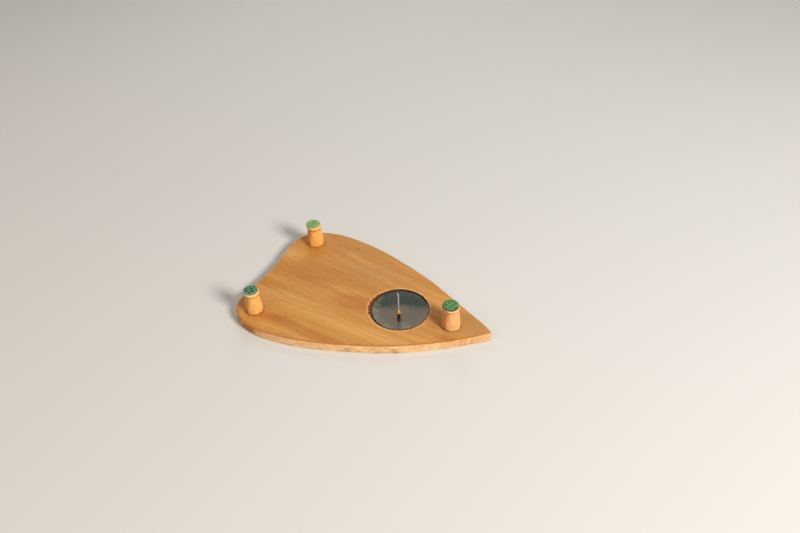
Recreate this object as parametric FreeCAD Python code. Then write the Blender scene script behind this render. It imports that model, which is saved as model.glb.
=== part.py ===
import FreeCAD, Part
import math
import os

# A talking-board planchette: a thin wooden shield with a round window, a steel pin that points
# down through the window's plastic disc, and three turned feet with felt pads.
#
# It lies turned over, with its flat top face down and its feet up.
# Origin: middle of the bounding box, on the top face that it lies on.
# +X runs to the pointed front, +Y to the left and +Z up, the way the feet point.  Millimetres.

# Board
board_length = 157.5
board_width = 105.7
board_thickness = 6.35
lower_edge_round = 0.9
upper_edge_round = 0.35

# The pointed front is sawn a little to the left of the centre line.
tip_offset = 3.5
tip_lean_start = 37.6
tip_lean_power = 1.5
tip_radius = 1.2
tip_half_angle = math.radians(51.0)

# Half of the outline, tip to tail: how far forward each point is, and how far from the centre line.
half_outline = [
    (64.5, 10.6),
    (45.4, 22.4),
    (26.2, 32.7),
    (7.1, 40.4),
    (-12.0, 46.8),
    (-31.0, 51.1),
    (-50.8, board_width / 2),
    (-66.8, 49.4),
    (-75.8, 41.9),
    (-board_length / 2, 29.0),
    (-77.7, 16.5),
]
tail_dip = 2.2

# Window
window_x = 18.9
window_y = -0.4
recess_diameter = 38.1
recess_depth = 2.1
view_hole_diameter = 33.5
view_hole_round = 0.5
disc_diameter = 36.0
disc_thickness = 1.0
disc_x = window_x + 0.4
disc_y = window_y + 0.7

# Pointer pin and the glue bead that holds it
pin_x = 19.35
pin_y = -2.35
pin_hole_clearance = 0.05
pin_base_radius = 0.60
pin_bend_radius = 0.42
pin_point_radius = 0.12
pin_bend_z = 19.9
pin_point_shift = (-0.40, -0.05, 1.75)
pin_head_radius = 1.3
pin_head_thickness = 0.5
bead_radius = 1.4
bead_height = 2.3
bead_skirt_radius = 2.1
bead_skirt_height = 0.2

# Feet: their places on the board, and the radii that differ because each was turned by hand
feet = {
    "front": {"x": 53.4, "y": 0.0, "base": 6.2, "neck": 4.55, "lip": 5.2, "felt": 5.0},
    "rear_left": {"x": -64.4, "y": 37.8, "base": 6.0, "neck": 4.5, "lip": 5.1, "felt": 4.7},
    "rear_right": {"x": -64.2, "y": -37.9, "base": 5.6, "neck": 4.1, "lip": 4.75, "felt": 4.45},
}
foot_height = 15.1
foot_base_round = 0.5
foot_neck_height = 12.4
foot_lip_height = 14.3
foot_lip_round = 0.35
tenon_radius = 3.15
tenon_length = 4.3
tenon_chamfer = 0.4
socket_clearance = 0.05
socket_depth = 4.6
felt_thickness = 1.0

# Levels worked out from the sizes above
underside_z = board_thickness
ledge_z = underside_z - recess_depth
disc_top_z = ledge_z + disc_thickness
foot_top_z = underside_z + foot_height


def outline_point(forward, sideways):
    """A point of the outline, with the front part leaning over to the left."""
    lean = 0.0
    if forward > tip_lean_start:
        share = (forward - tip_lean_start) / (board_length / 2 - tip_lean_start)
        lean = tip_offset * share ** tip_lean_power
    return FreeCAD.Vector(forward, sideways + lean, 0)


def make_outline():
    """The closed outline: a small arc at the tip, and one curve from it round the tail and back."""
    tip_half_width = tip_radius * math.sin(tip_half_angle)
    tip_back = tip_radius * (1 - math.cos(tip_half_angle))
    half = [(board_length / 2 - tip_back, tip_half_width)] + half_outline
    left_side = [outline_point(x, y) for x, y in half]
    right_side = [outline_point(x, -y) for x, y in half]
    tail = FreeCAD.Vector(-board_length / 2 + tail_dip, 0, 0)
    tip = outline_point(board_length / 2, 0)
    tip_arc = Part.Arc(right_side[0], tip, left_side[0]).toShape()
    long_curve = Part.BSplineCurve()
    long_curve.interpolate(
        left_side + [tail] + right_side[::-1],
        InitialTangent=tip_arc.tangentAt(tip_arc.LastParameter),
        FinalTangent=tip_arc.tangentAt(tip_arc.FirstParameter),
    )
    return Part.Wire([long_curve.toShape(), tip_arc])


def outer_edges(shape, level):
    """Edges of the outline, not of the holes, that lie at one level."""
    found = []
    for edge in shape.Edges:
        box = edge.BoundBox
        at_level = abs(box.ZMin - level) < 1e-4 and abs(box.ZMax - level) < 1e-4
        is_circle = isinstance(edge.Curve, Part.Circle) and edge.Curve.Radius > 2 * tip_radius
        if at_level and not is_circle:
            found.append(edge)
    return found


def make_board():
    """The shield with its rounded edges, stepped window hole and three blind sockets."""
    face = Part.Face(make_outline())
    board = face.extrude(FreeCAD.Vector(0, 0, board_thickness))
    board = board.makeFillet(lower_edge_round, outer_edges(board, 0))
    board = board.makeFillet(upper_edge_round, outer_edges(board, board_thickness))
    view_hole = Part.makeCylinder(
        view_hole_diameter / 2, board_thickness, FreeCAD.Vector(window_x, window_y, 0)
    )
    flare = Part.makeCone(
        view_hole_diameter / 2 + view_hole_round,
        view_hole_diameter / 2,
        view_hole_round,
        FreeCAD.Vector(window_x, window_y, 0),
    )
    recess = Part.makeCylinder(
        recess_diameter / 2, recess_depth, FreeCAD.Vector(window_x, window_y, ledge_z)
    )
    cutters = [view_hole, flare, recess]
    for foot in feet.values():
        socket_floor = FreeCAD.Vector(foot["x"], foot["y"], underside_z - socket_depth)
        cutters.append(
            Part.makeCylinder(tenon_radius + socket_clearance, socket_depth, socket_floor)
        )
    return board.cut(cutters).Solids[0]


def make_disc():
    """The window's plastic disc, resting on the ledge, with the pin's hole through it."""
    disc = Part.makeCylinder(
        disc_diameter / 2, disc_thickness, FreeCAD.Vector(disc_x, disc_y, ledge_z)
    )
    pin_hole = Part.makeCylinder(
        pin_base_radius + pin_hole_clearance,
        disc_thickness,
        FreeCAD.Vector(pin_x, pin_y, ledge_z),
    )
    return disc.cut(pin_hole).Solids[0]


def make_pin():
    """The steel pin: a flat head below the disc, a tapered shaft and a slightly bent point."""
    head = Part.makeCylinder(
        pin_head_radius,
        pin_head_thickness,
        FreeCAD.Vector(pin_x, pin_y, ledge_z - pin_head_thickness),
    )
    shaft = Part.makeCone(
        pin_base_radius,
        pin_bend_radius,
        pin_bend_z - ledge_z,
        FreeCAD.Vector(pin_x, pin_y, ledge_z),
    )
    bend_at = FreeCAD.Vector(pin_x, pin_y, pin_bend_z)
    elbow = Part.makeSphere(pin_bend_radius, bend_at)
    along = FreeCAD.Vector(*pin_point_shift)
    point = Part.makeCone(pin_bend_radius, pin_point_radius, along.Length, bend_at, along)
    return head.fuse([shaft, elbow, point]).removeSplitter().Solids[0]


def make_glue_bead():
    """The hardened bead of glue round the pin on the disc, with a thin skirt."""
    bore = pin_base_radius + pin_hole_clearance
    start = FreeCAD.Vector(bore, 0, 0)
    skirt_edge = FreeCAD.Vector(bead_skirt_radius, 0, 0)
    skirt_top = FreeCAD.Vector(bead_skirt_radius - bead_skirt_height, 0, bead_skirt_height)
    foot_of_dome = FreeCAD.Vector(bead_radius, 0, bead_skirt_height)
    dome_middle = FreeCAD.Vector(0.86 * bead_radius, 0, 0.68 * bead_height)
    top = FreeCAD.Vector(bore, 0, bead_height)
    edges = [
        Part.makeLine(start, skirt_edge),
        Part.makeLine(skirt_edge, skirt_top),
        Part.makeLine(skirt_top, foot_of_dome),
        Part.Arc(foot_of_dome, dome_middle, top).toShape(),
        Part.makeLine(top, start),
    ]
    half_section = Part.Face(Part.Wire(edges))
    bead = half_section.revolve(FreeCAD.Vector(0, 0, 0), FreeCAD.Vector(0, 0, 1), 360)
    bead.translate(FreeCAD.Vector(pin_x, pin_y, disc_top_z))
    return bead


def make_foot(foot):
    """A turned foot: tenon in the board, straight cone, narrow neck and flared lip."""
    base_radius = foot["base"]
    lip_radius = foot["lip"]
    outline = [
        (0, -tenon_length),
        (tenon_radius - tenon_chamfer, -tenon_length),
        (tenon_radius, tenon_chamfer - tenon_length),
        (tenon_radius, 0),
        (base_radius - foot_base_round, 0),
    ]
    points = [FreeCAD.Vector(r, 0, z) for r, z in outline]
    edges = [Part.makeLine(a, b) for a, b in zip(points, points[1:])]
    bevel = foot_base_round * math.sqrt(0.5)
    base_low = points[-1]
    base_mid = FreeCAD.Vector(base_radius - foot_base_round + bevel, 0, foot_base_round - bevel)
    base_high = FreeCAD.Vector(base_radius, 0, foot_base_round)
    neck = FreeCAD.Vector(foot["neck"], 0, foot_neck_height)
    lip_low = FreeCAD.Vector(lip_radius, 0, foot_lip_height)
    lip_high = FreeCAD.Vector(lip_radius, 0, foot_height - foot_lip_round)
    lip_top = FreeCAD.Vector(lip_radius - foot_lip_round, 0, foot_height)
    centre_top = FreeCAD.Vector(0, 0, foot_height)
    flare = Part.BSplineCurve()
    flare.interpolate(
        [neck, lip_low],
        InitialTangent=neck - base_high,
        FinalTangent=FreeCAD.Vector(0.6, 0, 0.8),
    )
    edges += [
        Part.Arc(base_low, base_mid, base_high).toShape(),
        Part.makeLine(base_high, neck),
        flare.toShape(),
        Part.makeLine(lip_low, lip_high),
        Part.makeLine(lip_high, lip_top),
        Part.makeLine(lip_top, centre_top),
        Part.makeLine(centre_top, points[0]),
    ]
    half_section = Part.Face(Part.Wire(edges))
    solid = half_section.revolve(FreeCAD.Vector(0, 0, 0), FreeCAD.Vector(0, 0, 1), 360)
    solid.translate(FreeCAD.Vector(foot["x"], foot["y"], underside_z))
    return solid


def make_felt(foot):
    """The felt pad glued on a foot's end."""
    at = FreeCAD.Vector(foot["x"], foot["y"], foot_top_z)
    return Part.makeCylinder(foot["felt"], felt_thickness, at)


nodes = {
    "board": make_board(),
    "window_disc": make_disc(),
    "pointer_pin": make_pin(),
    "glue_bead": make_glue_bead(),
}
for place, foot in feet.items():
    nodes["foot_" + place] = make_foot(foot)
    nodes["felt_" + place] = make_felt(foot)

os.makedirs("parts", exist_ok=True)
for name, shape in nodes.items():
    shape.exportStep(os.path.join("parts", name + ".step"))
    print(name, shape.ShapeType, "valid" if shape.isValid() else "INVALID", round(shape.Volume, 2))
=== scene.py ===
import math

import bmesh
import bpy
import numpy as np
from mathutils import Matrix, Vector, noise
from mathutils.bvhtree import BVHTree


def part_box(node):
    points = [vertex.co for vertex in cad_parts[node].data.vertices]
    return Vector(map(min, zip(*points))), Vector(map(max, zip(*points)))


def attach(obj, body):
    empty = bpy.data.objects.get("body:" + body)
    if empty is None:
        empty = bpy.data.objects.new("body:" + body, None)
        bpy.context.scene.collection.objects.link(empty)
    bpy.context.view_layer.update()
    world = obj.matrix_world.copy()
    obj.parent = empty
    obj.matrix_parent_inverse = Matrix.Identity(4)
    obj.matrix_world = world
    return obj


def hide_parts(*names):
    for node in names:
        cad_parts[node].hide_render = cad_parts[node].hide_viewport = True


# A wooden talking-board planchette, turned over so that its three felted feet stand up.
# Lengths in this script are millimetres, and UNIT turns them into Blender's metres.
UNIT = 0.001
TURN = 2 * math.pi

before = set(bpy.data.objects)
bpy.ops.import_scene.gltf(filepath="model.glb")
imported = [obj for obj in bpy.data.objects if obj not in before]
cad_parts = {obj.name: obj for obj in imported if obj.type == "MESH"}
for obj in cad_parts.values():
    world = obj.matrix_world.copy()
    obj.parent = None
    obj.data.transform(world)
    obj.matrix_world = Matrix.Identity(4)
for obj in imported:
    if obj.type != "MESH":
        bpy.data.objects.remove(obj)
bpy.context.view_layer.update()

# The camera looks along AHEAD from the object's right side, and the lights are placed by it too.
CAMERA_YAW = math.radians(26.24)
RIGHT = Vector((math.cos(CAMERA_YAW), math.sin(CAMERA_YAW), 0))
AHEAD = Vector((-math.sin(CAMERA_YAW), math.cos(CAMERA_YAW), 0))
UP = Vector((0, 0, 1))


# ---- Small helpers ----


def box_mm(node):
    """A CAD node's lowest and highest corners, in millimetres."""
    low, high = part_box(node)
    return np.array(low) / UNIT, np.array(high) / UNIT


def round_box(node):
    """A round CAD node's centre seen from above, its radius, and its lowest and highest levels."""
    low, high = box_mm(node)
    return (low + high)[:2] / 2, (high[0] - low[0]) / 2, low[2], high[2]


def field(points, size, seed, octaves=3):
    """Smooth random values, about -1 to 1, at points. size is that of the largest lumps."""
    shift = Vector((seed * 17.31, seed * 5.77, seed * 9.13))
    return np.array([noise.fractal(Vector(p) / size + shift, 1.0, 2.0, octaves) for p in points])


def smooth_step(low, high, value):
    """0 below low, 1 above high, and a smooth rise between."""
    share = np.clip((value - low) / (high - low), 0.0, 1.0)
    return share * share * (3 - 2 * share)


def fade_out(low, high, value):
    """1 below low, 0 above high, and a smooth fall between."""
    return 1 - smooth_step(low, high, value)


def near(points, place, reach):
    """1 at a place, falling smoothly to 0 at a distance of reach, in millimetres."""
    distance = np.linalg.norm(points[:, : len(place)] - np.array(place), axis=1)
    return fade_out(0.0, reach, distance)


def strongest(points, spots):
    """The strongest pull of several spots on each point. Spots are (place, reach, strength)."""
    pull = np.zeros(len(points))
    for place, reach, strength in spots:
        pull = np.maximum(pull, strength * near(points, place, reach))
    return pull


def arc_gap(angles, middle):
    """How far each angle is from a middle one, in radians, going the short way round."""
    return np.abs((angles - middle + math.pi) % TURN - math.pi)


def compass(columns):
    """Evenly spaced angles round a circle, and the unit way that each of them points."""
    angles = np.arange(columns) * TURN / columns
    return angles, np.column_stack([np.cos(angles), np.sin(angles)])


def lifted(flat, level):
    """Flat points raised to a level, which is one value or one for each point."""
    return np.column_stack([flat, np.full(len(flat), level)])


def grid_faces(rows, columns, closed_rows):
    """Quads of a grid whose columns close on themselves, and whose rows may too."""
    row = np.arange(rows if closed_rows else rows - 1)
    column = np.arange(columns)
    r, c = np.meshgrid(row, column, indexing="ij")
    r_next, c_next = (r + 1) % rows, (c + 1) % columns
    corners = [r * columns + c, r * columns + c_next, r_next * columns + c_next, r_next * columns + c]
    return np.stack(corners, axis=-1).reshape(-1, 4)


def add_object(name, data):
    """Adds an object to the scene."""
    made = bpy.data.objects.new(name, data)
    bpy.context.scene.collection.objects.link(made)
    return made


def make_mesh(name, points, faces, masks=None):
    """A smooth-shaded object from points in millimetres. masks are named values, one per point."""
    mesh = bpy.data.meshes.new(name)
    mesh.from_pydata((np.asarray(points) * UNIT).tolist(), [], [list(map(int, f)) for f in faces])
    for mask, values in (masks or {}).items():
        attribute = mesh.attributes.new(mask, "FLOAT", "POINT")
        attribute.data.foreach_set("value", np.asarray(values, dtype=np.float32))
    work = bmesh.new()
    work.from_mesh(mesh)
    bmesh.ops.recalc_face_normals(work, faces=work.faces)
    work.to_mesh(mesh)
    work.free()
    mesh.polygons.foreach_set("use_smooth", [True] * len(mesh.polygons))
    return add_object(name, mesh)


def lathe(name, rings, masks=None):
    """A closed solid from rings of points, (rings, columns, 3), with a fan over each end."""
    rows, columns, _ = rings.shape
    points = rings.reshape(-1, 3)
    faces = [list(f) for f in grid_faces(rows, columns, closed_rows=False)]
    ends = [rings[0].mean(axis=0), rings[-1].mean(axis=0)]
    first = rows * columns
    for c in range(columns):
        c_next = (c + 1) % columns
        faces.append([first, c_next, c])
        faces.append([first + 1, first - columns + c, first - columns + c_next])
    if masks:
        masks = {k: np.concatenate([v.reshape(-1), v[0, :1], v[-1, :1]]) for k, v in masks.items()}
    return make_mesh(name, np.vstack([points, ends]), faces, masks)


def fit_out(piece, node, material):
    """Gives a piece its material, hangs it under the root body, and hides the CAD node that it replaces.
    """
    piece.data.materials.append(material)
    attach(piece, "root")
    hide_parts(node)


# ---- Materials ----


class Nodes:
    """A material's node tree, with short calls for the nodes that the recipes below use."""

    def __init__(self, name):
        self.material = bpy.data.materials.new(name)
        self.material.use_nodes = True
        self.tree = self.material.node_tree
        self.shader = self.tree.nodes["Principled BSDF"]

    def put(self, target, value):
        """Links a socket to a socket, or sets it to a constant."""
        if isinstance(value, bpy.types.NodeSocket):
            self.tree.links.new(value, target)
        else:
            target.default_value = value

    def new(self, kind, inputs, output=0, **settings):
        """Adds a node with its inputs and settings, and returns one of its outputs."""
        node = self.tree.nodes.new("ShaderNode" + kind)
        for key, value in settings.items():
            setattr(node, key, value)
        for key, value in inputs.items():
            self.put(node.inputs[key], value)
        return node.outputs[output]

    def math(self, operation, first, second=0.0):
        return self.new("Math", {0: first, 1: second}, operation=operation)

    def plus(self, first, second):
        return self.math("ADD", first, second)

    def times(self, first, second):
        return self.math("MULTIPLY", first, second)

    def place(self):
        """The object's own coordinates, in millimetres."""
        coordinates = self.new("TexCoord", {}, output="Object")
        return self.new("VectorMath", {0: coordinates, "Scale": 1 / UNIT}, operation="SCALE")

    def moved_to(self, centre, place):
        """A place measured from a centre instead of from the object's own origin."""
        return self.new("VectorMath", {0: place, 1: (-centre[0], -centre[1], 0.0)}, operation="ADD")

    def split(self, vector):
        node = self.tree.nodes.new("ShaderNodeSeparateXYZ")
        self.put(node.inputs[0], vector)
        return node.outputs

    def join(self, x, y, z):
        return self.new("CombineXYZ", {0: x, 1: y, 2: z})

    def noise(self, vector, scale, detail=3.0, roughness=0.5, distortion=0.0):
        inputs = {"Vector": vector, "Scale": scale, "Detail": detail}
        inputs.update({"Roughness": roughness, "Distortion": distortion})
        return self.new("TexNoise", inputs)

    def ramp(self, value, stops):
        """A colour ramp. Stops are (place, colour), and the ramp has at least two."""
        node = self.tree.nodes.new("ShaderNodeValToRGB")
        elements = node.color_ramp.elements
        while len(elements) < len(stops):
            elements.new(0.5)
        for element, (place, colour) in zip(elements, stops):
            element.position = place
            element.color = (*colour, 1.0)
        self.put(node.inputs[0], value)
        return node.outputs[0]

    def between(self, value, low, high):
        """0 below low, 1 above high, a straight rise between. low may be the larger."""
        inputs = {"Value": value, "From Min": low, "From Max": high}
        return self.new("MapRange", inputs, clamp=True)

    def mix(self, share, first, second, blend="MIX"):
        node = self.tree.nodes.new("ShaderNodeMix")
        node.data_type = "RGBA"
        node.blend_type = blend
        self.put(node.inputs[0], share)
        for socket, colour in ((node.inputs[6], first), (node.inputs[7], second)):
            is_socket = isinstance(colour, bpy.types.NodeSocket)
            self.put(socket, colour if is_socket else (*colour, 1.0))
        return node.outputs[2]

    def mask(self, name):
        """A value painted on the mesh by the function that made it."""
        return self.new("Attribute", {}, output="Fac", attribute_name=name)

    def bump(self, height, strength, distance_mm, below=None):
        inputs = {"Height": height, "Strength": strength, "Distance": distance_mm * UNIT}
        if below is not None:
            inputs["Normal"] = below
        return self.new("Bump", inputs)

    def set(self, **inputs):
        """Sets the shader's sockets. An underscore stands for a space."""
        for key, value in inputs.items():
            self.put(self.shader.inputs[key.replace("_", " ")], value)


# Ramps of the board's colours: wood between its growth lines, and wood across its sawn edge
WOOD_BANDS = [
    (0.32, (0.495, 0.210, 0.042)),
    (0.45, (0.550, 0.246, 0.053)),
    (0.57, (0.590, 0.276, 0.064)),
    (0.70, (0.650, 0.325, 0.086)),
]
SAWN_BANDS = [
    (0.32, (0.360, 0.150, 0.050)),
    (0.42, (0.640, 0.350, 0.150)),
    (0.52, (0.760, 0.470, 0.225)),
    (0.66, (0.860, 0.620, 0.375)),
]

# What each of the board's masks mixes in, in this order: under the grain, and then over everything
ZONE_TINTS = {
    "warm": (0.425, 0.136, 0.017),
    "pale": (0.672, 0.348, 0.098),
    "greyed": (0.440, 0.228, 0.073),
}
# Over everything: the arris tint is a painted shade line, with browning from handling; the torn tint
# also paints a highlight line round the window; the darkest tint paints shade in the recess and round
# the feet, with some scorch
WEAR_AND_PAINTED_LIGHT_TINTS = {
    "arris": (0.440, 0.140, 0.028),
    "broken": (0.330, 0.088, 0.016),
    "torn": (0.920, 0.480, 0.200),
    "scorch_and_shade": (0.075, 0.020, 0.008),
    "soil": (0.170, 0.100, 0.072),
}
RING_LINE = (0.360, 0.110, 0.014)
FLECK = (0.300, 0.095, 0.014)


def across_grain(n, x, y, z):
    """How far across the growth lines a place is. They lean at the board's left, less at its right."""
    slope = n.plus(n.times(y, 0.0026), 0.11)
    across = n.plus(y, n.times(x, slope))
    wander = n.noise(n.join(n.times(x, 0.35), y, z), 0.022)
    return n.plus(across, n.times(wander, 16.0))


def growth_rings(n, colour, x, across, z):
    """Draws growth rings: each darkens slowly and ends in a sharp line, and they fade out in places."""
    drift = n.noise(n.join(n.times(x, 0.12), across, z), 0.045)
    rings = n.plus(n.times(across, 0.21), n.times(drift, 3.4))
    ring_share = n.math("FRACT", rings)
    fade_place = n.join(n.times(x, 0.22), across, z)
    fade = n.between(n.noise(fade_place, 0.10, detail=2.0), 0.36, 0.60)
    late_wood = n.times(n.between(ring_share, 0.35, 1.0), 0.13)
    ring_line = n.times(n.between(ring_share, 0.89, 0.97), 0.46)
    return n.mix(n.times(n.plus(late_wood, ring_line), fade), colour, RING_LINE)


def board_wood():
    """Satin flat-sawn hardwood: thin wavy growth lines, short flecks, broad warm and pale zones."""
    n = Nodes("board_wood")
    x, y, z = n.split(n.place())
    across = across_grain(n, x, y, z)
    grain = n.join(n.times(x, 0.05), across, n.times(z, 0.45))
    colour = n.ramp(n.noise(grain, 0.17), WOOD_BANDS)
    for mask, tint in ZONE_TINTS.items():
        colour = n.mix(n.mask(mask), colour, tint)
    colour = growth_rings(n, colour, x, across, z)

    fibre_place = n.join(n.times(x, 0.18), across, z)
    fibres = n.noise(fibre_place, 1.9, detail=4.0, roughness=0.70)
    colour = n.mix(n.between(fibres, 0.50, 0.70), colour, (1.10, 1.11, 1.14), "MULTIPLY")
    colour = n.mix(n.between(fibres, 0.50, 0.30), colour, (0.88, 0.84, 0.80), "MULTIPLY")
    fleck_place = n.join(n.times(x, 0.28), across, z)
    flecks = n.between(n.noise(fleck_place, 1.5, detail=2.0), 0.63, 0.72)
    colour = n.mix(n.times(flecks, 0.30), colour, FLECK)

    # The sawn edge is paler, with dark dashes along it
    edge = n.mask("edge")
    dash_place = n.join(n.times(x, 0.10), n.times(y, 0.10), z)
    dashes = n.noise(dash_place, 1.9, detail=5.0, roughness=0.72)
    colour = n.mix(edge, colour, n.ramp(dashes, SAWN_BANDS))
    # Wear and stains, with the painted shade and highlight lines that some of these masks carry
    for mask, tint in WEAR_AND_PAINTED_LIGHT_TINTS.items():
        colour = n.mix(n.mask(mask), colour, tint)

    height = n.plus(n.times(fibres, 0.6), n.times(flecks, -0.7))
    grain_bump = n.bump(height, 0.35, 0.03)
    saw_place = n.join(x, y, n.times(z, 0.25))
    saw = n.times(n.noise(saw_place, 1.6), edge)
    saw = n.plus(saw, n.times(dashes, edge))
    roughness = n.plus(n.times(fibres, 0.16), 0.44)
    roughness = n.plus(roughness, n.times(edge, 0.24))
    n.set(Base_Color=colour, Roughness=roughness, Normal=n.bump(saw, 0.5, 0.10, grain_bump))
    n.set(IOR=1.46, Specular_IOR_Level=0.30)
    return n.material


def foot_wood(place, light, dark, centre):
    """Turned hardwood: grain along the foot, fine rings left by the tool, and speckles."""
    n = Nodes("foot_wood_" + place)
    p = n.place()
    moved = n.moved_to(centre, p)
    x, y, z = n.split(moved)
    around = n.join(x, y, n.times(z, 0.10))
    bands = n.noise(around, 0.42, roughness=0.55)
    colour = n.mix(n.between(bands, 0.34, 0.64), dark, light)
    blotch = n.noise(moved, 0.55, roughness=0.6)
    paler = tuple(min(1.0, c * 1.16) for c in light)
    colour = n.mix(n.times(n.between(blotch, 0.50, 0.70), 0.5), colour, paler)
    speck_place = n.join(x, y, n.times(z, 0.45))
    specks = n.between(n.noise(speck_place, 1.9), 0.60, 0.70)
    colour = n.mix(n.times(specks, 0.34), colour, tuple(c * 0.5 for c in dark))
    rings = n.noise(n.join(0.0, 0.0, z), 3.0, roughness=0.7)
    colour = n.mix(n.between(rings, 0.60, 0.40), colour, (0.90, 0.86, 0.82), "MULTIPLY")
    # Pale splinters at the base and a painted highlight at the lip's end, then painted shade under the
    # lip and at the base
    colour = n.mix(n.mask("torn"), colour, (0.93, 0.58, 0.31))
    colour = n.mix(n.mask("shade"), colour, (0.300, 0.085, 0.012))
    height = n.plus(rings, n.times(specks, -0.5))
    fuzz = n.noise(speck_place, 5.0)
    height = n.plus(height, n.times(fuzz, 0.5))
    n.set(Base_Color=colour, Roughness=0.50, Normal=n.bump(height, 0.6, 0.06))
    n.set(IOR=1.46, Specular_IOR_Level=0.16)
    return n.material


def felt(place, light, dark, cut_edge, blotched):
    """Pressed wool felt: light and dark tufts, dark pits and blotches, and a discoloured cut edge."""
    n = Nodes("felt_" + place)
    p = n.place()
    tufts = n.noise(p, 0.72, detail=2.5, roughness=0.60, distortion=0.8)
    fine = n.noise(p, 3.6, roughness=0.7)
    mixed = n.plus(n.times(tufts, 0.75), n.times(fine, 0.25))
    blotches = n.between(n.noise(p, 0.50, roughness=0.6, distortion=0.8), 0.47, 0.58)
    colour = n.mix(n.between(mixed, 0.455, 0.530), dark, light)
    wisps = n.between(n.noise(p, 1.6, distortion=2.0), 0.55, 0.66)
    colour = n.mix(n.times(wisps, 0.38), colour, tuple(0.75 * c + 0.16 for c in light))
    pits = n.between(n.noise(p, 0.95, detail=2.5), 0.53, 0.63)
    colour = n.mix(n.times(pits, 0.90), colour, tuple(0.35 * c for c in dark))
    colour = n.mix(n.times(blotches, blotched), colour, tuple(0.6 * c for c in dark))
    colour = n.mix(n.mask("rimward"), colour, cut_edge)
    n.set(Base_Color=colour, Roughness=0.95, Normal=n.bump(mixed, 1.0, 0.30))
    n.set(Sheen_Weight=0.05, Sheen_Roughness=0.5, Specular_IOR_Level=0.10)
    return n.material


def felt_fibre(place, colour):
    """Single wool fibres that stand out of a felt pad."""
    n = Nodes("felt_fibre_" + place)
    variation = n.noise(n.place(), 1.4, detail=1.0)
    paler = tuple(min(1.0, c * 1.3 + 0.05) for c in colour)
    n.set(Base_Color=n.mix(variation, colour, paler), Roughness=0.9, Specular_IOR_Level=0.1)
    return n.material


SCRATCH_WAY = math.radians(24)


def window_plastic(centre, radius):
    """Dark smoked plastic with old glue, and a painted reflection: teal and dim on the far half, browner
    and brighter on the half nearer the camera.
    """
    n = Nodes("window_plastic")
    p = n.place()
    x, y, z = n.split(p)
    # Painted reflection of the room: colour, specular tint and specular level go from dim teal on the
    # far half to brighter brown on the half nearer the camera
    toward = {0: n.moved_to(centre, p), 1: tuple(-AHEAD / radius)}
    nearer = n.new("VectorMath", toward, output="Value", operation="DOT_PRODUCT")
    cloud = n.noise(p, 0.085, detail=4.0, roughness=0.55)
    nearer = n.plus(nearer, n.times(n.math("SUBTRACT", cloud, 0.5), 1.3))
    painted_reflection = n.between(nearer, -0.30, 0.12)
    base = n.mix(painted_reflection, (0.012, 0.018, 0.014), (0.030, 0.019, 0.013))
    tint = n.mix(painted_reflection, (0.80, 0.94, 0.82), (1.0, 0.80, 0.60))

    # Old glue makes a pale haze near the rim, and there are dust spots and scratches.
    smear = n.noise(p, 0.24, detail=4.0, roughness=0.6, distortion=0.6)
    haze = n.times(n.mask("haze"), n.between(smear, 0.36, 0.60))
    base = n.mix(haze, base, (0.200, 0.190, 0.140))
    spots = n.between(n.noise(p, 1.2, detail=2.0), 0.66, 0.74)
    base = n.mix(n.times(spots, 0.20), base, (0.22, 0.20, 0.16))
    turned = n.plus(n.times(x, math.sin(SCRATCH_WAY)), n.times(y, math.cos(SCRATCH_WAY)))
    scratch_place = n.join(n.times(x, 0.05), n.times(turned, 2.2), z)
    scratches = n.between(n.noise(scratch_place, 1.5, roughness=0.7), 0.63, 0.70)
    base = n.mix(n.times(scratches, 0.20), base, (0.15, 0.14, 0.12))
    # Painted dark streak in front of the pin, for its reflection and shadow; the disc's own reflection
    # is mostly turned off there too
    pin_reflection_and_shadow = n.mask("pin_reflection_and_shadow")
    base = n.mix(n.times(pin_reflection_and_shadow, 0.9), base, (0.016, 0.006, 0.004))
    roughness = n.plus(n.times(haze, 0.30), 0.19)
    height = n.plus(n.times(scratches, -0.5), n.times(smear, 0.3))
    n.set(Base_Color=base, Roughness=roughness, Normal=n.bump(height, 0.10, 0.02))
    level = n.plus(n.times(painted_reflection, 0.34), 0.17)
    level = n.times(level, n.between(pin_reflection_and_shadow, 1.1, 0.0))
    n.set(IOR=1.49, Alpha=0.93, Specular_IOR_Level=level, Specular_Tint=tint)
    return n.material


def pin_steel():
    """Plain drawn steel gone dull and pinkish-grey, browner near the glue."""
    n = Nodes("pin_steel")
    p = n.place()
    x, y, z = n.split(p)
    drawn = n.noise(n.join(x, y, n.times(z, 0.12)), 9.0)
    patches = n.noise(p, 1.1)
    colour = n.mix(n.between(drawn, 0.35, 0.65), (0.44, 0.38, 0.36), (0.62, 0.56, 0.53))
    disc_top = float(DISC_HIGH[2])
    rust = n.times(n.between(z, disc_top + 4.25, disc_top + 1.75), n.between(patches, 0.35, 0.60))
    colour = n.mix(n.times(rust, 0.6), colour, (0.26, 0.13, 0.06))
    roughness = n.plus(n.times(patches, 0.2), 0.34)
    n.set(Base_Color=colour, Metallic=0.35, Roughness=roughness, Normal=n.bump(drawn, 0.3, 0.02))
    return n.material


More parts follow.
